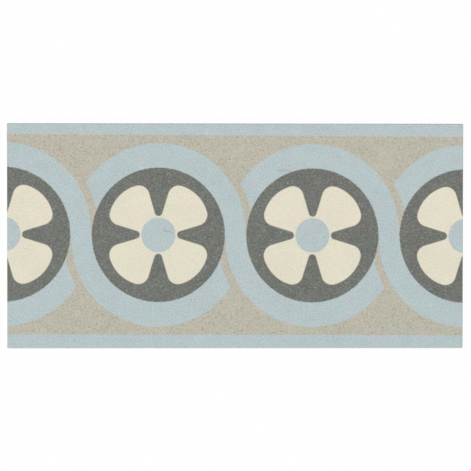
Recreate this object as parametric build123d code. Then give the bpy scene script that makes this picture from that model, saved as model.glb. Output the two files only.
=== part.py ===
from build123d import *
from build123d.topology import SkipClean
import math
import os

# Border tile for a floor of 30 cm tiles, in millimetres. It lies with its bed on z = 0 and its wear
# face up, with the length along X and the origin at the middle of the bed.

# Body
length = 298.0
width = 147.0
thickness = 9.0
arris = 0.5  # bevel ground round the wear face
bed_ease = 0.6  # bevel round the bed
corner_round = 0.2  # what both bevels leave of the corner rounding at the faces

# Waffle pressed into the bed, which keys into the adhesive
key_rim = 6.0  # plain margin round the waffle
key_ridge = 3.0
key_cell = 18.0  # aimed spacing of the pockets
key_depth = 0.6
key_draft = 30.0  # degrees, slope of the pocket walls for release from the press
key_corner = 2.0  # cut across the corners of a pocket

# Printed pattern: a plain stripe along each long edge
stripe_width = 8.1

# Printed pattern: discs in a row, with a band that weaves over one disc and under the next
disc_radius = 43.6
band_width = 13.5  # beside the disc
band_rise = 2.5  # extra width of the band above and below the disc
band_lap = 0.1  # how far a band runs in behind the next disc
weave_gap = 5.0  # ground that shows between a passing band and a cut band end

# Printed pattern: four petals in each disc, round a hub
disc_rim = 7.5  # between the petal ends and the edge of the disc
petal_bow = 24.5  # radius of a petal's outer end
petal_corner = 7.0
hub_radius = 11.3
hub_ring = 0.9  # petal colour between the hub and the arms
arm_angle = 16.8  # degrees, each side of the dark arm between two petals
arm_tip = 2.6  # radius of the arm's inner end

corner_radius = max(arris, bed_ease) + corner_round
band_radius = disc_radius + band_width
disc_pitch = disc_radius + band_radius - band_lap
petal_reach = disc_radius - disc_rim


def disc_centres():
    """X of each disc, evenly about the middle, as far as a band still reaches the tile."""
    pairs = math.ceil((length / 2 + band_radius) / disc_pitch - 0.5)
    return [disc_pitch * (i + 0.5) for i in range(-pairs, pairs)]


def pressed_body():
    """Plain block with its upright corners rounded and both faces bevelled."""
    outline = RectangleRounded(length, width, corner_radius)
    body = extrude(outline, thickness)
    body = chamfer(body.faces().sort_by(Axis.Z)[-1].edges(), arris)
    return chamfer(body.faces().sort_by(Axis.Z)[0].edges(), bed_ease)


def key_pockets():
    """Shallow drafted pockets in the bed, with a ridge crossing at its middle."""
    field_x = length - 2 * key_rim + key_ridge
    field_y = width - 2 * key_rim + key_ridge
    count_x = 2 * round(field_x / key_cell / 2)
    count_y = 2 * round(field_y / key_cell / 2)
    step_x = field_x / count_x
    step_y = field_y / count_y
    mouth = Rectangle(step_x - key_ridge, step_y - key_ridge)
    mouth = chamfer(mouth.vertices(), key_corner)
    pocket = extrude(mouth, key_depth, taper=key_draft)
    return [spot * pocket for spot in GridLocations(step_x, step_y, count_x, count_y)]


def stripes():
    """The two straight stripes along the long edges."""
    offset = (width - stripe_width) / 2
    stripe = Rectangle(length, stripe_width)
    return Pos(0, offset) * stripe + Pos(0, -offset) * stripe


def ovals(grow):
    """Outer outlines of the bands round the discs, each grown by a margin."""
    oval = SlotCenterToCenter(2 * band_rise, 2 * (band_radius + grow), rotation=90)
    return [Pos(x, 0) * oval for x in disc_centres()]


def woven_bands():
    """Bands round every disc, each cut where its neighbour passes over it."""
    reach = band_radius + band_rise + weave_gap
    quarter = Rectangle(reach, reach, align=(Align.MIN, Align.MIN))
    passing = quarter + Rot(0, 0, 180) * quarter
    bands = Sketch() + ovals(0)
    for x, inner, outer in zip(disc_centres(), ovals(0), ovals(weave_gap)):
        bands -= (outer - inner) & (Pos(x, 0) * passing)
    return bands


def blossom():
    """Four joined petals on the diagonals, parted by tapered arms with round inner ends."""
    slope = math.radians(arm_angle)
    apex = hub_radius + hub_ring + arm_tip - arm_tip / math.sin(slope)
    far = disc_radius
    spread = (far - apex) * math.tan(slope)
    arm = Polygon((apex, 0), (far, -spread), (far, spread), align=None)
    arm = fillet(arm.vertices().sort_by(Axis.X)[0], arm_tip)
    petal = Pos(petal_reach - petal_bow, 0) * Circle(petal_bow)
    figure = Sketch() + [Rot(0, 0, 45 + 90 * i) * petal for i in range(4)]
    figure -= [Rot(0, 0, 90 * i) * arm for i in range(4)]
    tips = [v for v in figure.vertices() if Vector(v).length > petal_bow]
    return fillet(tips, petal_corner)


def in_row(shape):
    """One copy of a shape at each disc."""
    return Sketch() + [Pos(x, 0) * shape for x in disc_centres()]


def printed_fields():
    """The colour fields of the pattern, each without what is printed over it."""
    discs = in_row(Circle(disc_radius))
    blossoms = in_row(blossom())
    hubs = in_row(Circle(hub_radius))
    return [stripes(), woven_bands() - discs, discs - blossoms, blossoms - hubs, hubs]


def imprint(body, fields):
    """Mark the fields in the wear face as flush outlines: the face is divided and nothing is raised."""
    wear_face = RectangleRounded(length - 2 * arris, width - 2 * arris, corner_radius - arris)
    flush = [Pos(0, 0, thickness) * extrude(field & wear_face, -thickness / 2) for field in fields]
    solids = [solid for part in flush for solid in part.solids()]
    with SkipClean():
        return body.fuse(*solids)


os.makedirs("parts", exist_ok=True)
blank = pressed_body() - key_pockets()
tile = imprint(blank, printed_fields())
tile.label = "tile"
export_step(tile, "parts/tile.step")
print("tile: volume", round(tile.volume), "mm3, faces", len(tile.faces()))
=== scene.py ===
import math

import bmesh
import bpy
import numpy as np
from mathutils import Euler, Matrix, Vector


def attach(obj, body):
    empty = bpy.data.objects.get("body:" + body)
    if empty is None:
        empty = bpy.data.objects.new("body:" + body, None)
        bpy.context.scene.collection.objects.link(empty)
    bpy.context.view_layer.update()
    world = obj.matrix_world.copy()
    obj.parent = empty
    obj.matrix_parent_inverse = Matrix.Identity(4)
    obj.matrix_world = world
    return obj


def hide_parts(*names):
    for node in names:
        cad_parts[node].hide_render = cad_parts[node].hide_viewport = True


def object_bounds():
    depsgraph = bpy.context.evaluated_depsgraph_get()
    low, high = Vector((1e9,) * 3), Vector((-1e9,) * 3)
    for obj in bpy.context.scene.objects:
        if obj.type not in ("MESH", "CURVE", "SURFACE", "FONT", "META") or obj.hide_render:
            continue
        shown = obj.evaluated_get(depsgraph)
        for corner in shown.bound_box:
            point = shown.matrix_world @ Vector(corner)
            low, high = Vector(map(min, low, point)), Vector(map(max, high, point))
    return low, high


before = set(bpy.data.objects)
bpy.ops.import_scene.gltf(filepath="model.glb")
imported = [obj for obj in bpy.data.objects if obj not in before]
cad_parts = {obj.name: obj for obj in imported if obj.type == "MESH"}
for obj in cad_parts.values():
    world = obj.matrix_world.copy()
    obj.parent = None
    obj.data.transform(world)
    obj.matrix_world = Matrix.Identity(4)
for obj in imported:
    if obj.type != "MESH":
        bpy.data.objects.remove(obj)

# A printed border tile that lies face up on a pale floor. The frame is in metres. The sizes of the
# relief, the pattern and the grain are written in millimetres.

mm = 0.001
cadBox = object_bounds()
cadLow, cadHigh = (np.array(corner) for corner in cadBox)
length, width, thickness = (cadHigh - cadLow) / mm
print("frame loaded: tile %.1f x %.1f x %.1f mm" % (length, width, thickness))


# Shader maths

class Wire:
    # One socket of a node tree. An operator on it adds one Math node, so a mask reads as a formula.

    def __init__(self, tree, socket):
        self.tree = tree
        self.socket = socket

    def maths(self, operation, *values):
        return node(self.tree, "ShaderNodeMath", {"operation": operation}, dict(enumerate(values)))

    def __add__(self, other):
        return self.maths("ADD", self, other)

    def __radd__(self, other):
        return self.maths("ADD", other, self)

    def __sub__(self, other):
        return self.maths("SUBTRACT", self, other)

    def __rsub__(self, other):
        return self.maths("SUBTRACT", other, self)

    def __mul__(self, other):
        return self.maths("MULTIPLY", self, other)

    def __rmul__(self, other):
        return self.maths("MULTIPLY", other, self)

    def __truediv__(self, other):
        return self.maths("DIVIDE", self, other)

    def __rtruediv__(self, other):
        return self.maths("DIVIDE", other, self)

    def __neg__(self):
        return self.maths("MULTIPLY", self, -1.0)

    def __abs__(self):
        return self.maths("ABSOLUTE", self)

    def __gt__(self, other):
        return self.maths("GREATER_THAN", self, other)

    def __lt__(self, other):
        return self.maths("LESS_THAN", self, other)


def node(tree, kind, settings, sockets, output=0):
    # any node: its type, its settings, then the values or links of its sockets
    made = tree.nodes.new(kind)
    for name, value in settings.items():
        setattr(made, name, value)
    for name, value in sockets.items():
        if isinstance(value, Wire):
            tree.links.new(value.socket, made.inputs[name])
        else:
            made.inputs[name].default_value = value
    return Wire(tree, made.outputs[output]) if made.outputs else None


def most(first, *others):
    for other in others:
        first = first.maths("MAXIMUM", first, other)
    return first


def least(first, *others):
    for other in others:
        first = first.maths("MINIMUM", first, other)
    return first


def span(a, b):
    # length of the vector (a, b)
    return a.maths("SQRT", a * a + b * b)


def choose(mask, yes, no):
    # the number yes where mask is 1, and no where it is 0
    return node(mask.tree, "ShaderNodeMix", {"data_type": "FLOAT"}, {0: mask, 2: no, 3: yes})


def ramp(value, start, end, low=0.0, high=1.0):
    # a smooth step of value from low at start to high at end
    sockets = {"Value": value, "From Min": start, "From Max": end, "To Min": low, "To Max": high}
    return node(value.tree, "ShaderNodeMapRange", {"interpolation_type": "SMOOTHSTEP"}, sockets)


def ink(red, green, blue):
    # a colour as a screen shows it, 0 to 255, turned into the linear values that a shader takes
    share = np.array([red, green, blue]) / 255
    linear = np.where(share <= 0.04045, share / 12.92, ((share + 0.055) / 1.055) ** 2.4)
    return (*linear, 1.0)


def blendInk(mask, under, over):
    return node(mask.tree, "ShaderNodeMix", {"data_type": "RGBA"}, {0: mask, 6: under, 7: over}, 2)


def vectorMaths(operation, vector, sockets):
    return node(vector.tree, "ShaderNodeVectorMath", {"operation": operation}, {0: vector, **sockets})


def shade(colour, factor):
    # a colour made lighter or darker by a factor
    return vectorMaths("SCALE", colour, {"Scale": factor})


def stretched(vector, x, y, z):
    return vectorMaths("MULTIPLY", vector, {1: (x, y, z)})


def parts(vector):
    return [node(vector.tree, "ShaderNodeSeparateXYZ", {}, {0: vector}, axis) for axis in "XYZ"]


def placeOn(tree):
    # the place on the piece in millimetres, as a vector
    spot = node(tree, "ShaderNodeTexCoord", {}, {}, "Object")
    return vectorMaths("SCALE", spot, {"Scale": 1 / mm})


def cloud(vector, size, detail=0.0, offset=0.0):
    # soft noise about zero, from about -1 to 1, with lumps of the given size in millimetres
    moved = vectorMaths("ADD", vector, {1: (offset, -offset, offset)})
    sockets = {"Vector": moved, "Scale": 1 / size, "Detail": detail, "Roughness": 0.5}
    raw = node(vector.tree, "ShaderNodeTexNoise", {"noise_dimensions": "3D"}, sockets)
    return (raw - 0.5) * 2.0


def specks(vector, size, share, spread, offset):
    # round grains on a random lattice: 1 inside a grain, and a share of the cells have one; spread is
    # a grain's radius, as a share of the cell's size
    moved = vectorMaths("ADD", vector, {1: (offset, offset, offset)})
    sockets = {"Vector": moved, "Scale": 1 / size, "Randomness": 1.0}
    far = node(vector.tree, "ShaderNodeTexVoronoi", {}, sockets, "Distance")
    dice = node(vector.tree, "ShaderNodeTexVoronoi", {}, sockets, "Color")
    chosen = parts(dice)[0] < share
    return chosen * ramp(far, spread, spread * 0.4)


def surface(tree, colour, roughness, height, relief, specular):
    # the finished shader, with the height as a bump whose relief is in millimetres
    bump = node(tree, "ShaderNodeBump", {}, {"Strength": 1.0, "Distance": relief * mm, "Height": height})
    sockets = {"Base Color": colour, "Roughness": roughness, "Normal": bump, "Specular IOR Level": specular}
    shader = node(tree, "ShaderNodeBsdfPrincipled", {}, sockets)
    node(tree, "ShaderNodeOutputMaterial", {}, {"Surface": shader})


def newMaterial(name):
    material = bpy.data.materials.new(name)
    material.use_nodes = True
    material.node_tree.nodes.clear()
    return material


# The tile's body: two level grids, joined by a profile that is carried round the outline

tileShape = {
    "arris": 0.5,  # bevel ground round the wear face
    "bedEase": 0.6,  # bevel round the bed
    "cornerRadius": 0.8,
    "cornerSteps": 6,
    "softening": 0.06,  # rounding where a bevel meets a face
    "sideLines": (0.72, 0.45),  # rings round the sides, as shares of the thickness
    "arrisWander": 0.035,  # how far the hand of the grinder moves the bevel
    "wanderCounts": (9, 23, 52, 97),  # waves of it in one turn round the tile
    "faceWander": 0.018,  # how far the wear face dips between its high spots
    "dipLengths": ((23.0, 19.0), (41.0, 33.0), (11.0, 13.0)),  # of its three waves, along and across
    "dipPhases": (0.6, -0.4, 1.9),
    "dipFade": 12.0,  # from the edges to full dips
    "keyRim": 6.0,  # plain margin round the waffle of the bed
    "rimSteps": 3,
    "keyRidge": 3.0,  # between two pockets
    "keyCell": 18.0,  # about their spacing
    "keyDepth": 0.6,
    "keyDraft": 30.0,  # degrees from upright
    "keyCorner": 2.0,  # cut off each corner of a pocket
    "cornerLines": (1.0, 0.6, 0.3, 0.0),  # grid lines across a pocket's cut corner, as shares of the cut
    "lipLine": 0.15,  # first grid line outside a pocket's mouth
    "sharpAngle": 28.0,  # degrees at an edge from which it is shaded as sharp
    "mergeGap": 0.002,  # points nearer than this are joined
    "shortEdge": 0.001,
}


def pocketLines(size):
    # grid lines along one axis: at each pocket its walls, the cuts of its corners and its middle
    shape = tileShape
    field = size - 2 * shape["keyRim"] + shape["keyRidge"]
    count = 2 * round(field / shape["keyCell"] / 2)
    step = field / count
    mouth = (step - shape["keyRidge"]) / 2
    bottom = mouth - shape["keyDepth"] * math.tan(math.radians(shape["keyDraft"]))
    corner = bottom - shape["keyCorner"] * np.array(shape["cornerLines"])
    half = np.concatenate([[0.0], corner, [mouth, mouth + shape["lipLine"]]])
    cell = np.concatenate([-half[:0:-1], half, [step / 2]])
    centres = step * (np.arange(count) - (count - 1) / 2)
    inner = (centres[:, None] + cell[None, :]).ravel()
    edge = size / 2 - shape["cornerRadius"]
    margin = np.linspace(field / 2, edge, shape["rimSteps"] + 1)[1:]
    lines = np.concatenate([-margin[::-1], [-field / 2], inner[:-1], [field / 2], margin])
    return lines, centres, mouth


def pocketDepth(x, y, centresX, centresY, mouthX, mouthY):
    # depth of the waffle: the distance in from the nearest pocket's eight-sided mouth, times the
    # slope of its walls, and no deeper than its floor
    shape = tileShape
    nearX = np.abs(x - centresX[np.abs(x[..., None] - centresX).argmin(-1)])
    nearY = np.abs(y - centresY[np.abs(y[..., None] - centresY).argmin(-1)])
    corner = (nearX + nearY - (mouthX + mouthY - shape["keyCorner"])) / math.sqrt(2)
    inside = -np.maximum(np.maximum(nearX - mouthX, nearY - mouthY), corner)
    slope = 1 / math.tan(math.radians(shape["keyDraft"]))
    return np.clip(inside * slope, 0, shape["keyDepth"])


def dips(x, y, edgeX, edgeY):
    # slow waves of the wear face, from 0 down to 1, which fade out towards its edges: a broad one, a
    # slanting one and a short one of half their height
    (broadX, broadY), (slantX, slantY), (shortX, shortY) = tileShape["dipLengths"]
    phaseX, phaseY, slantPhase = tileShape["dipPhases"]
    broad = np.sin(x / broadX + phaseX) * np.cos(y / broadY + phaseY)
    slant = np.sin(x / slantX - y / slantY + slantPhase)
    short = np.sin(x / shortX + y / shortY)
    fadeX = np.clip((edgeX - np.abs(x)) / tileShape["dipFade"], 0, 1)
    fadeY = np.clip((edgeY - np.abs(y)) / tileShape["dipFade"], 0, 1)
    return ((broad + slant + 0.5 * short) / 5 + 0.5) * (fadeX * fadeY)


def gridFaces(rows, columns, start, upward):
    # the quads of a grid whose points are numbered along its rows
    corner = start + (np.arange(rows - 1)[:, None] * columns + np.arange(columns - 1)[None, :]).ravel()
    quads = np.column_stack([corner, corner + 1, corner + columns + 1, corner + columns])
    return quads if upward else quads[:, ::-1]


def outlinePath(linesX, linesY):
    # the rounded outline's inner rectangle as points with outward directions, once round, with a fan
    # of directions at each corner; the last numbers are the distances along it
    edgeX, edgeY = linesX[-1], linesY[-1]
    turn = np.linspace(0, math.pi / 2, tileShape["cornerSteps"] + 1)
    sides = [
        np.column_stack([np.full(linesY.size, edgeX), linesY]),
        np.column_stack([linesX[::-1], np.full(linesX.size, edgeY)]),
        np.column_stack([np.full(linesY.size, -edgeX), linesY[::-1]]),
        np.column_stack([linesX, np.full(linesX.size, -edgeY)]),
    ]
    points, ways = [], []
    for quarter, side in enumerate(sides):
        start = quarter * math.pi / 2
        points += [side, np.repeat(side[-1:], turn.size - 2, axis=0)]
        ways += [np.full(len(side), start), start + turn[1:-1]]
    points = np.concatenate(points)
    ways = np.concatenate(ways)
    outward = np.column_stack([np.cos(ways), np.sin(ways)])
    steps = np.linalg.norm(np.diff(points, axis=0, prepend=points[-1:]), axis=1)
    return points, outward, np.cumsum(steps)


def rimProfile():
    # (out, height, share of the wander) from the wear face down the side to the bed
    shape = tileShape
    soft, radius = shape["softening"], shape["cornerRadius"]
    top, bed = shape["arris"], shape["bedEase"]
    lean = soft * math.sqrt(0.5)
    side = [[radius, thickness * share, 0.0] for share in shape["sideLines"]]
    return np.array([
        [0.0, thickness, 0.0],
        [radius - top - soft, thickness, 1.0],
        [radius - top + lean, thickness - lean, 1.0],
        [radius - lean, thickness - top + lean, 1.0],
        [radius, thickness - top - soft, 1.0],
        *side,
        [radius, bed + soft, 0.0],
        [radius - lean, bed - lean, 0.0],
        [radius - bed + lean, lean, 0.0],
        [radius - bed - soft / 2, 0.0, 0.0],
        [0.0, 0.0, 0.0],
    ])


def rimPoints(points, outward, along, profile):
    # the profile at each point of the outline, moved out and up; the bevel's two edges move together,
    # inward and down, by slow waves along the outline
    turns = 2 * math.pi * along / along[-1]
    counts = tileShape["wanderCounts"]
    waves = sum(np.sin(turns * count + count) for count in counts) / len(counts)
    wander = tileShape["arrisWander"] * (waves / 2 + 0.5)
    atEdge = np.where(profile[:, 1] > thickness - tileShape["arris"] / 2, 1.0, 0.0)
    out = profile[None, :, 0] - wander[:, None] * (profile[:, 2] * atEdge)[None, :]
    height = profile[None, :, 1] - wander[:, None] * (profile[:, 2] * (1 - atEdge))[None, :]
    flat = points[:, None, :] + outward[:, None, :] * out[:, :, None]
    return np.concatenate([flat, height[:, :, None]], -1).reshape(-1, 3)


def rimFaces(rows, columns, start):
    # quads between neighbouring profiles, closed once round
    corner = (np.arange(rows)[:, None] * columns + np.arange(columns - 1)[None, :]).ravel()
    after = (corner + columns) % (rows * columns)
    return start + np.column_stack([corner, corner + 1, after + 1, after])


def tileMesh():
    # the wear face and the bed share their grid lines, and the rim closes the body between them
    linesX, centresX, mouthX = pocketLines(length)
    linesY, centresY, mouthY = pocketLines(width)
    x, y = np.meshgrid(linesX, linesY)
    faceDips = tileShape["faceWander"] * dips(x, y, linesX[-1], linesY[-1])
    pockets = pocketDepth(x, y, centresX, centresY, mouthX, mouthY)
    topGrid = np.stack([x, y, thickness - faceDips], -1).reshape(-1, 3)
    bedGrid = np.stack([x, y, pockets], -1).reshape(-1, 3)
    points, outward, along = outlinePath(linesX, linesY)
    profile = rimProfile()
    rim = rimPoints(points, outward, along, profile)
    quads = np.concatenate([
        gridFaces(linesY.size, linesX.size, 0, True),
        gridFaces(linesY.size, linesX.size, len(topGrid), False),
        rimFaces(len(points), len(profile), 2 * len(topGrid)),
    ])
    mesh = bpy.data.meshes.new("borderTile")
    mesh.from_pydata((np.concatenate([topGrid, bedGrid, rim]) * mm).tolist(), [], quads.tolist())
    work = bmesh.new()
    work.from_mesh(mesh)
    bmesh.ops.remove_doubles(work, verts=work.verts, dist=tileShape["mergeGap"] * mm)
    bmesh.ops.dissolve_degenerate(work, edges=work.edges, dist=tileShape["shortEdge"] * mm)
    bmesh.ops.recalc_face_normals(work, faces=work.faces)
    work.to_mesh(mesh)
    openEdges = sum(not edge.is_manifold for edge in work.edges)
    work.free()
    mesh.shade_smooth()
    mesh.set_sharp_from_angle(angle=math.radians(tileShape["sharpAngle"]))
    print("tile mesh: %d faces, %d open edges" % (len(mesh.polygons), openEdges))
    return mesh


# Which finish each face takes, and where it lies on the unwrapped sheet: the wear face largest, the
# bed below it, and the four sides as strips between them

faceKinds = {
    "glazeNormal": 0.4,  # faces that look up at least this much are glazed
    "bedNormal": -0.15,
    "sheetMargin": 0.005,  # free border of the sheet, which is 1 wide
    "topScale": 0.99,  # share of the sheet's width that the wear face takes
    "bedScale": 0.73,
    "topStart": 0.507,
    "bedStart": 0.005,
    "frontStart": 0.384,
    "backStart": 0.428,
    "endStart": 0.468,
    "rightEnd": 0.5,  # where the right end's strip starts, beside the left one's
}


def readArray(items, name, size, kind=float):
    # one property of all the items, a row for each
    values = np.empty(len(items) * size, kind)
    items.foreach_get(name, values)
    return values.reshape(-1, size) if size > 1 else values


def sheetPlace(place, normal, isTop, isBed):
    # the place on the sheet of each face corner, from its place on the tile and its face's direction
    kinds = faceKinds
    x, y, z = place.T
    unit, bedUnit = kinds["topScale"] / length, kinds["bedScale"] / length
    margin = kinds["sheetMargin"]
    isEnd = np.abs(normal[:, 0]) > np.abs(normal[:, 1])
    endShift = np.where(normal[:, 0] > 0, kinds["rightEnd"], 0.0)
    sideStart = np.where(normal[:, 1] < 0, kinds["frontStart"], kinds["backStart"])
    alongFace = margin + (x + length / 2) * unit
    alongBed = margin + (length / 2 - x) * bedUnit
    alongEnd = margin + endShift + (y + width / 2) * unit
    upFace = kinds["topStart"] + (y + width / 2) * unit
    upBed = kinds["bedStart"] + (y + width / 2) * bedUnit
    across = np.select([isTop, isBed, isEnd], [alongFace, alongBed, alongEnd], alongFace)
    upEnd = kinds["endStart"] + z * unit
    up = np.select([isTop, isBed, isEnd], [upFace, upBed, upEnd], sideStart + z * unit)
    return np.column_stack([across, up])


def finishFaces(mesh, materials):
    # sorts the faces by where they look, gives each its material, and lays the sheet out
    for material in materials:
        mesh.materials.append(material)
    normals = readArray(mesh.polygons, "normal", 3)
    totals = readArray(mesh.polygons, "loop_total", 1, int)
    owners = readArray(mesh.loops, "vertex_index", 1, int)
    place = readArray(mesh.vertices, "co", 3)[owners] / mm
    isTop = normals[:, 2] > faceKinds["glazeNormal"]
    isBed = normals[:, 2] < faceKinds["bedNormal"]
    finish = np.select([isTop, isBed], [0, 2], 1)
    mesh.polygons.foreach_set("material_index", finish.astype(np.int32))
    loopNormals = np.repeat(normals, totals, axis=0)
    corners = sheetPlace(place, loopNormals, np.repeat(isTop, totals), np.repeat(isBed, totals))
    sheet = mesh.uv_layers.new(name="OFBake")
    sheet.data.foreach_set("uv", corners.ravel())


# The printed glaze

register = {  # how the print lies on this tile: print place from tile place
    "shiftX": -0.074,
    "shiftY": -0.556,
    "growX": 1.00633,
    "growY": 0.99400,
    "leanX": -0.00760,
    "leanY": 0.00362,
    "creepAlong": 2.20e-5,  # growth of the print's scale for each millimetre along the tile
    "creepAcross": 1.22e-5,
}

pattern = {
    "pitch": 101.287,  # from disc to disc
    "disc": 43.6,
    "band": 57.08,  # outer radius of the band round a disc
    "bandRise": 2.36,  # half length of the straight stretch in its sides
    "weaveGap": 4.98,  # width of the strip of ground beside a crossing
    "stripe": 64.76,  # from the middle line to the stripes
    "hub": 11.24,
    "hubRing": 0.98,  # cream between the hub and the dark arms
    "armAngle": 16.83,  # degrees from the middle of an arm to its side
    "armTip": 2.56,  # radius of its round end
    "petalReach": 36.04,  # from the middle of the disc
    "petalBow": 24.62,  # radius of a petal's outer end
    "petalCorner": 6.99,  # radius where that end turns into its sides
    "edgeSoft": 0.42,  # half width of an ink's soft edge
    "edgeRagged": 0.16,  # how far the grain moves that edge
}

# Each ink has its colour as a screen shows it, how far its pinkish and greenish patches lie apart,
# and how much lighter or darker the lumps of each size are, fine to broad. Two have specks as well.

inks = {
    "ground": {
        "colour": (186.1, 182.4, 167.0),
        "tint": 6.8,
        "grain": (0.05, 0.23, 0.06, 0.035, 0.02),
        "specks": {"size": 1.7, "share": 0.28, "spread": 0.42, "offset": 11.0},
        "speckDepth": -0.23,
    },
    "blue": {
        "colour": (182.4, 196.1, 197.9),
        "tint": 14.5,
        "grain": (0.25, 0.08, 0.03, 0.03, 0.02),
    },
    "dark": {
        "colour": (107.7, 110.8, 104.4),
        "tint": 12.0,
        "grain": (0.05, 0.46, 0.12, 0.07, 0.05),
        "specks": {"size": 1.5, "share": 0.30, "spread": 0.40, "offset": 29.0},
        "speckDepth": 0.66,
    },
    "cream": {
        "colour": (227.1, 221.2, 201.0),
        "tint": 13.0,
        "grain": (0.17, 0.04, 0.02, 0.02, 0.03),
    },
}

glaze = {
    "grainSizes": (0.75, 1.1, 2.6, 6.0, 16.0),  # of its lumps, fine to broad
    "grainShift": 31.0,  # keeps the sizes apart in the noise
    "patches": {"size": 2.3, "detail": 1.0, "offset": 119.0},
    "patchDrift": {"size": 14.0, "detail": 1.0, "offset": 57.0},
    "driftShare": 0.4,
    "patchSpread": 0.8,  # noise at which a patch has its full tint
    "tintWay": (0.644, -0.356, 0.144),  # red, green and blue of a step towards pink, equally light
    "farWarmer": 0.0008,  # gain in tint and in lightness towards the far long edge, per millimetre; the gain in lightness is painted light
    # painted light: the colour is made lighter towards the far long edge
    "farPaintedLight": 0.00018,
    "bevelStart": 0.03,  # below the wear face
    "bevelFull": 0.16,
    "bevelBodyAndShade": (160, 158, 152),  # the fired body where the bevel cuts the glaze, drawn greyer and darker as painted shade on the bevel
    "bevelBodyShadeShare": 0.12,
    "bevelRough": 0.2,
    "roughness": 0.46,
    "fineRough": 0.05,
    "softRough": 0.03,
    "relief": 0.012,  # height of the fine grain
    "specular": 0.35,
}

marks = [  # fine scuffs in the glaze: start, end, half width and strength
    {"start": (-47.0, 3.5), "end": (-41.4, 2.4), "half": 0.40, "strength": 0.38},
    {"start": (26.9, 42.9), "end": (36.1, 42.7), "half": 0.58, "strength": 0.26},
    {"start": (-105.2, -68.5), "end": (-105.0, -68.4), "half": 0.55, "strength": 0.45},
    {"start": (-138.0, -8.0), "end": (-136.6, -8.5), "half": 0.42, "strength": 0.26},
]


def printPlace(x, y):
    # the place on the print: the tile's place shifted, stretched and leant, with a slow creep
    r = register
    creep = r["creepAlong"] * x + r["creepAcross"] * y
    printX = (r["growX"] + creep) * x + r["leanX"] * y + r["shiftX"]
    printY = (r["growY"] + creep) * y + r["leanY"] * x + r["shiftY"]
    return printX, printY


def bandDistance(x, y, along, across):
    # signed distance to the woven bands: inside either neighbour's oval, and out of the strip of
    # ground that each oval leaves beside the one that it passes over
    p = pattern
    rise = most(across - p["bandRise"], 0.0)
    turn = x.maths("SIGN", x * y)
    own = span(along, rise) - p["band"]
    other = span(along - p["pitch"], rise) - p["band"]
    ownQuarter = -turn * least(along, across)
    otherQuarter = turn * least(p["pitch"] - along, across)
    ownGap = most(-own, own - p["weaveGap"], ownQuarter)
    otherGap = most(-other, other - p["weaveGap"], otherQuarter)
    return most(least(own, other), -ownGap, -otherGap)


def petalDistance(along, across):
    # signed distance to the four petals, folded into one eighth: a wedge-shaped arm with a round tip
    # parts two petals, an arc ends each, and a fillet joins the two
    p = pattern
    angle = math.radians(p["armAngle"])
    sine, cosine = math.sin(angle), math.cos(angle)
    tip, bow, corner = p["armTip"], p["petalBow"], p["petalCorner"]
    apex = p["hub"] + p["hubRing"] + tip - tip / sine
    tipCentre = apex + tip / sine
    bowOut = p["petalReach"] - bow
    bowX = bowOut / math.sqrt(2)
    baseX, baseY = apex - sine * corner, cosine * corner
    dx, dy = baseX - bowX, baseY - bowX
    lean = dx * cosine + dy * sine
    travel = -lean + math.sqrt(lean ** 2 - (dx ** 2 + dy ** 2 - (bow - corner) ** 2))
    filletX, filletY = baseX + travel * cosine, baseY + travel * sine
    u, v = most(along, across), least(along, across)
    side = (u - apex) * sine - v * cosine
    beyond = (u - tipCentre) * cosine + v * sine
    wedge = choose(beyond > 0.0, side, tip - span(u - tipCentre, v))
    arc = span((u + v) * math.sqrt(0.5) - bowOut, (u - v) * math.sqrt(0.5)) - bow
    past = (u - filletX) * cosine + (v - filletY) * sine
    cross = (filletX - bowX) * (v - bowX) - (filletY - bowX) * (u - bowX)
    fillet = span(u - filletX, v - filletY) - corner
    return choose((past > 0.0) * (cross < 0.0), fillet, most(wedge, arc))


def scuff(x, y, mark):
    # its strength on a short straight scuff, 0 away from it: by the distance to the line between its
    # two ends
    (startX, startY), (endX, endY) = mark["start"], mark["end"]
    size = math.hypot(endX - startX, endY - startY)
    wayX, wayY = (endX - startX) / size, (endY - startY) / size
    run = most(least((x - startX) * wayX + (y - startY) * wayY, size), 0.0)
    away = span(x - startX - run * wayX, y - startY - run * wayY)
    return ramp(away, mark["half"], 0.0, 0.0, mark["strength"])


def grainyInk(name, place, grains, tint):
    # one ink: its colour between a greenish and a pinkish tint, times the grain of each size and the
    # specks that it may have
    own = inks[name]
    colour = np.array(own["colour"])
    step = np.array(glaze["tintWay"]) * own["tint"] / 2
    drifting = blendInk(tint, ink(*(colour - step)), ink(*(colour + step)))
    factor = sum((grain * strength for grain, strength in zip(grains, own["grain"])), 1.0)
    if "specks" in own:
        factor = factor + specks(place, **own["specks"]) * own["speckDepth"]
    return shade(drifting, factor)


def printedColour(place, x, y, grains):
    # the inks in the order that they cover each other: ground, stripes, bands, discs, petals, hubs
    printX, printY = printPlace(x, y)
    cell = x.maths("FLOOR", printX / pattern["pitch"])
    local = printX - (cell + 0.5) * pattern["pitch"]
    along, across, centre = abs(local), abs(printY), span(local, printY)
    patches = cloud(place, **glaze["patches"]) + cloud(place, **glaze["patchDrift"]) * glaze["driftShare"]
    tint = ramp(patches, -glaze["patchSpread"], glaze["patchSpread"]) + y * glaze["farWarmer"]
    ragged = grains[1] * pattern["edgeRagged"]
    ground, blue, dark, cream = (grainyInk(name, place, grains, tint) for name in inks)
    layers = [
        (pattern["stripe"] - across, blue),
        (bandDistance(local, printY, along, across), blue),
        (centre - pattern["disc"], dark),
        (petalDistance(along, across), cream),
        (centre - pattern["hub"], blue),
    ]
    colour = ground
    for distance, over in layers:
        colour = blendInk(ramp(distance + ragged, pattern["edgeSoft"], -pattern["edgeSoft"]), colour, over)
    return colour


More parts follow.
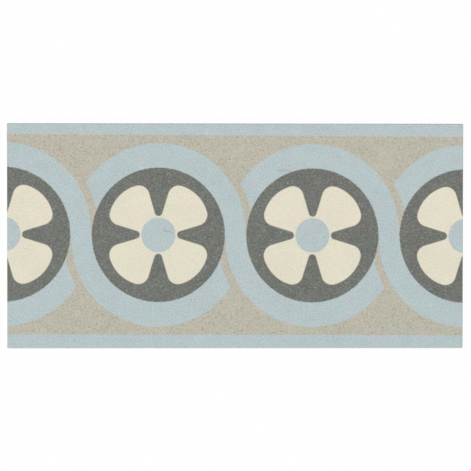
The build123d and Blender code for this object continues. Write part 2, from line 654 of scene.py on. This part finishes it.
def printedGlaze():
    # the print under a half-matt glaze, worn by a few scuffs, with painted light that makes it lighter
    # towards the far long edge, rougher at the bevel, and greyer there with the bare body and painted shade
    material = newMaterial("printedGlaze")
    tree = material.node_tree
    place = placeOn(tree)
    x, y, z = parts(place)
    g = glaze
    grains = [cloud(place, size, 0.0, g["grainShift"] * size) for size in g["grainSizes"]]
    fine, medium, soft = grains[0], grains[1], grains[3]
    colour = printedColour(place, x, y, grains)
    worn = sum(scuff(x, y, mark) for mark in marks)
    # painted light: lighter towards the far long edge; the scuffs darken it
    colour = shade(colour, 1.0 - worn + y * g["farPaintedLight"])
    bevel = ramp(z, thickness - g["bevelStart"], thickness - g["bevelFull"])
    # painted shade on the bevel, mixed in together with the fired body's colour
    colour = blendInk(bevel * g["bevelBodyShadeShare"], colour, ink(*g["bevelBodyAndShade"]))
    roughness = g["roughness"] + fine * g["fineRough"] + soft * g["softRough"] + bevel * g["bevelRough"]
    surface(tree, colour, roughness, (fine + medium) / 2, g["relief"], g["specular"])
    return material


# The ground sides, where the fired body shows

sideFinish = {
    "body": (184, 177, 164),
    "deep": (166, 158, 146),
    "glazeLine": (206, 203, 193),
    "glazeDepth": 0.35,  # of the glaze and its white under-layer, seen as a line under the bevel
    "glazeFade": 0.15,
    "glazeWave": 0.12,
    "glazeSmooth": 0.15,  # how much less rough the line is
    "grind": {"size": 0.5, "detail": 1.0},
    "grindRun": 0.06,  # squeezes the noise upright, so that the grinding lines run down the sides
    "grindShade": 0.10,
    "grindRough": 0.08,
    "grindRelief": 0.7,
    "lumps": {"size": 1.4, "detail": 2.0, "offset": 23.0},
    "lumpRelief": 0.3,
    "drift": {"size": 22.0, "detail": 1.0, "offset": 61.0},
    "driftShare": 0.6,
    "blotchSpread": 0.7,  # noise at which a blotch has its full colour
    "specks": {"size": 0.9, "share": 0.2, "spread": 0.4, "offset": 7.0},
    "speckShade": 0.22,
    "speckRelief": 0.5,
    "roughness": 0.72,
    "relief": 0.03,
    "specular": 0.3,
}


def groundSides():
    # pale fired body with fine specks, a thin light line of glaze at the top, and grinding lines
    material = newMaterial("groundSides")
    tree = material.node_tree
    place = placeOn(tree)
    z = parts(place)[2]
    s = sideFinish
    grind = cloud(stretched(place, 1.0, 1.0, s["grindRun"]), **s["grind"])
    lumps = cloud(place, **s["lumps"])
    pits = specks(place, **s["specks"])
    blotches = lumps + cloud(place, **s["drift"]) * s["driftShare"]
    blotch = ramp(blotches, -s["blotchSpread"], s["blotchSpread"])
    colour = blendInk(blotch, ink(*s["body"]), ink(*s["deep"]))
    colour = shade(colour, 1.0 + grind * s["grindShade"] - pits * s["speckShade"])
    lineLow = thickness - tileShape["arris"] - s["glazeDepth"]
    line = ramp(z + lumps * s["glazeWave"], lineLow, lineLow + s["glazeFade"])
    colour = blendInk(line, colour, ink(*s["glazeLine"]))
    roughness = s["roughness"] + grind * s["grindRough"] - line * s["glazeSmooth"]
    height = grind * s["grindRelief"] + lumps * s["lumpRelief"] - pits * s["speckRelief"]
    surface(tree, colour, roughness, height, s["relief"], s["specular"])
    return material


# The pressed bed

bedFinish = {
    "body": (191, 181, 164),
    "deep": (170, 159, 143),
    "engobe": (214, 210, 200),
    "engobeShare": 0.8,
    "engobeLow": -0.5,  # noise at which the wash starts, and at which it is full
    "engobeFull": 0.6,
    "ridgeZ": (0.25, 0.05),  # heights on the pockets' walls where the wash ends and where it is full
    "pocketZ": (0.3, 0.6),  # heights between which painted shade darkens the pockets
    "pocketPaintedShade": 0.10,
    "rollerSpacing": 37.0,
    "rollerWidth": 5.0,
    "rollerWander": 3.0,
    "rollerRub": 0.9,
    "lumps": {"size": 1.2, "detail": 2.0, "offset": 41.0},
    "lumpShare": 0.6,
    "drift": {"size": 26.0, "detail": 2.0, "offset": 73.0},
    "driftShare": 0.8,
    "blotchSpread": 0.7,
    "specks": {"size": 1.0, "share": 0.22, "spread": 0.4, "offset": 17.0},
    "speckShade": 0.2,
    "speckRelief": 0.4,
    "roughness": 0.86,
    "lumpRough": 0.06,
    "lumpRelief": 0.8,
    "relief": 0.06,
    "specular": 0.25,
}


def pressedBed():
    # the same body, unglazed, with white kiln wash dusted on the ridges, rubbed thin in lines where
    # the tile ran over the rollers, and painted shade that darkens the bottom of the pockets
    material = newMaterial("pressedBed")
    tree = material.node_tree
    place = placeOn(tree)
    y, z = parts(place)[1:]
    b = bedFinish
    lumps = cloud(place, **b["lumps"])
    drift = cloud(place, **b["drift"])
    pits = specks(place, **b["specks"])
    blotch = ramp(lumps * b["lumpShare"] + drift, -b["blotchSpread"], b["blotchSpread"])
    colour = blendInk(blotch, ink(*b["body"]), ink(*b["deep"]))
    colour = shade(colour, 1.0 - pits * b["speckShade"])
    wavy = y + drift * b["rollerWander"]
    roller = wavy.maths("ROUND", wavy / b["rollerSpacing"])
    rubbed = ramp(abs(wavy - roller * b["rollerSpacing"]), b["rollerWidth"], 0.0)
    cover = lumps + drift * b["driftShare"] - rubbed * b["rollerRub"]
    dust = ramp(z, *b["ridgeZ"]) * ramp(cover, b["engobeLow"], b["engobeFull"], 0.0, b["engobeShare"])
    colour = blendInk(dust, colour, ink(*b["engobe"]))
    # painted shade: the bottom of the pockets made darker
    colour = shade(colour, 1.0 - ramp(z, *b["pocketZ"]) * b["pocketPaintedShade"])
    roughness = b["roughness"] + lumps * b["lumpRough"]
    height = lumps * b["lumpRelief"] - pits * b["speckRelief"]
    surface(tree, colour, roughness, height, b["relief"], b["specular"])
    return material


def makeTile():
    mesh = tileMesh()
    finishFaces(mesh, [printedGlaze(), groundSides(), pressedBed()])
    piece = bpy.data.objects.new("border_tile", mesh)
    bpy.context.scene.collection.objects.link(piece)
    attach(piece, "root")
    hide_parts("tile")
    print("tile finished: %d materials" % len(mesh.materials))


# The studio: a level pale floor, even light and one soft lamp

studio = {
    "white": (1.0, 1.0, 1.0, 1.0),
    "floorHalf": 3.0,  # metres, as the drop
    "floorDrop": 0.0002,
    "floorColour": (0.9, 0.9, 0.9, 1.0),
    "floorShown": 0.965,  # share of plain white in what the camera sees of the floor
    "skyLight": 0.66,
    "lampLight": 1.25,
    "lampTilt": (32.0, -22.0),  # degrees about X and Y
    "lampAngle": 28.0,  # degrees across, which makes its shadow soft
}


def seenDirectly(tree):
    # 1 for rays that show the background: from the camera, or mirrored or passed on by the object
    rays = [node(tree, "ShaderNodeLightPath", {}, {}, name)
            for name in ("Is Camera Ray", "Is Glossy Ray", "Is Transmission Ray")]
    return least(rays[0] + rays[1] + rays[2], 1.0)


def makeFloor():
    # a wide square, matt for the light and nearly white for the camera, which still shows the shadow
    half = studio["floorHalf"]
    floorMesh = bpy.data.meshes.new("floor")
    corners = [(-half, -half), (half, -half), (half, half), (-half, half)]
    floorMesh.from_pydata([(x, y, -studio["floorDrop"]) for x, y in corners], [], [(0, 1, 2, 3)])
    floor = bpy.data.objects.new("floor", floorMesh)
    bpy.context.scene.collection.objects.link(floor)
    paper = newMaterial("paleFloor")
    tree = paper.node_tree
    matt = node(tree, "ShaderNodeBsdfDiffuse", {}, {"Color": studio["floorColour"]})
    white = node(tree, "ShaderNodeEmission", {}, {"Color": studio["white"], "Strength": 1.0})
    shown = seenDirectly(tree) * studio["floorShown"]
    mixed = node(tree, "ShaderNodeMixShader", {}, {0: shown, 1: matt, 2: white})
    node(tree, "ShaderNodeOutputMaterial", {}, {"Surface": mixed})
    floorMesh.materials.append(paper)


def makeLight():
    # an even sky that looks white, and one wide lamp
    world = bpy.data.worlds.new("studio")
    world.use_nodes = True
    world.node_tree.nodes.clear()
    bpy.context.scene.world = world
    tree = world.node_tree
    strength = choose(seenDirectly(tree), 1.0, studio["skyLight"])
    sky = node(tree, "ShaderNodeBackground", {}, {"Color": studio["white"], "Strength": strength})
    node(tree, "ShaderNodeOutputWorld", {}, {"Surface": sky})
    lamp = bpy.data.lights.new("softLamp", "SUN")
    lamp.energy = studio["lampLight"]
    lamp.angle = math.radians(studio["lampAngle"])
    holder = bpy.data.objects.new("softLamp", lamp)
    tiltX, tiltY = (math.radians(angle) for angle in studio["lampTilt"])
    holder.rotation_euler = Euler((tiltX, tiltY, 0.0))
    bpy.context.scene.collection.objects.link(holder)
    bpy.context.scene.view_settings.view_transform = "Standard"


def makeStudio():
    makeFloor()
    makeLight()
    print("studio ready")


cameraPlace = {  # nearly straight above the tile, leaning less than a degree each way
    "place": (-9.984, 13.010, 863.689),
    "tilt": (-0.8498, -0.6707, 0.0370),  # degrees
    "lens": 100.0,
    "sensor": 36.0,
    "nearest": 50.0,
    "farthest": 20000.0,
}


def makeCamera():
    lens = bpy.data.cameras.new("camera")
    lens.lens = cameraPlace["lens"]
    lens.sensor_width = cameraPlace["sensor"]
    lens.clip_start = cameraPlace["nearest"] * mm
    lens.clip_end = cameraPlace["farthest"] * mm
    camera = bpy.data.objects.new("camera", lens)
    camera.location = [value * mm for value in cameraPlace["place"]]
    camera.rotation_euler = Euler([math.radians(angle) for angle in cameraPlace["tilt"]])
    bpy.context.scene.collection.objects.link(camera)
    bpy.context.scene.camera = camera
    print("camera ready")


makeTile()
makeStudio()
makeCamera()
bpy.context.view_layer.update()
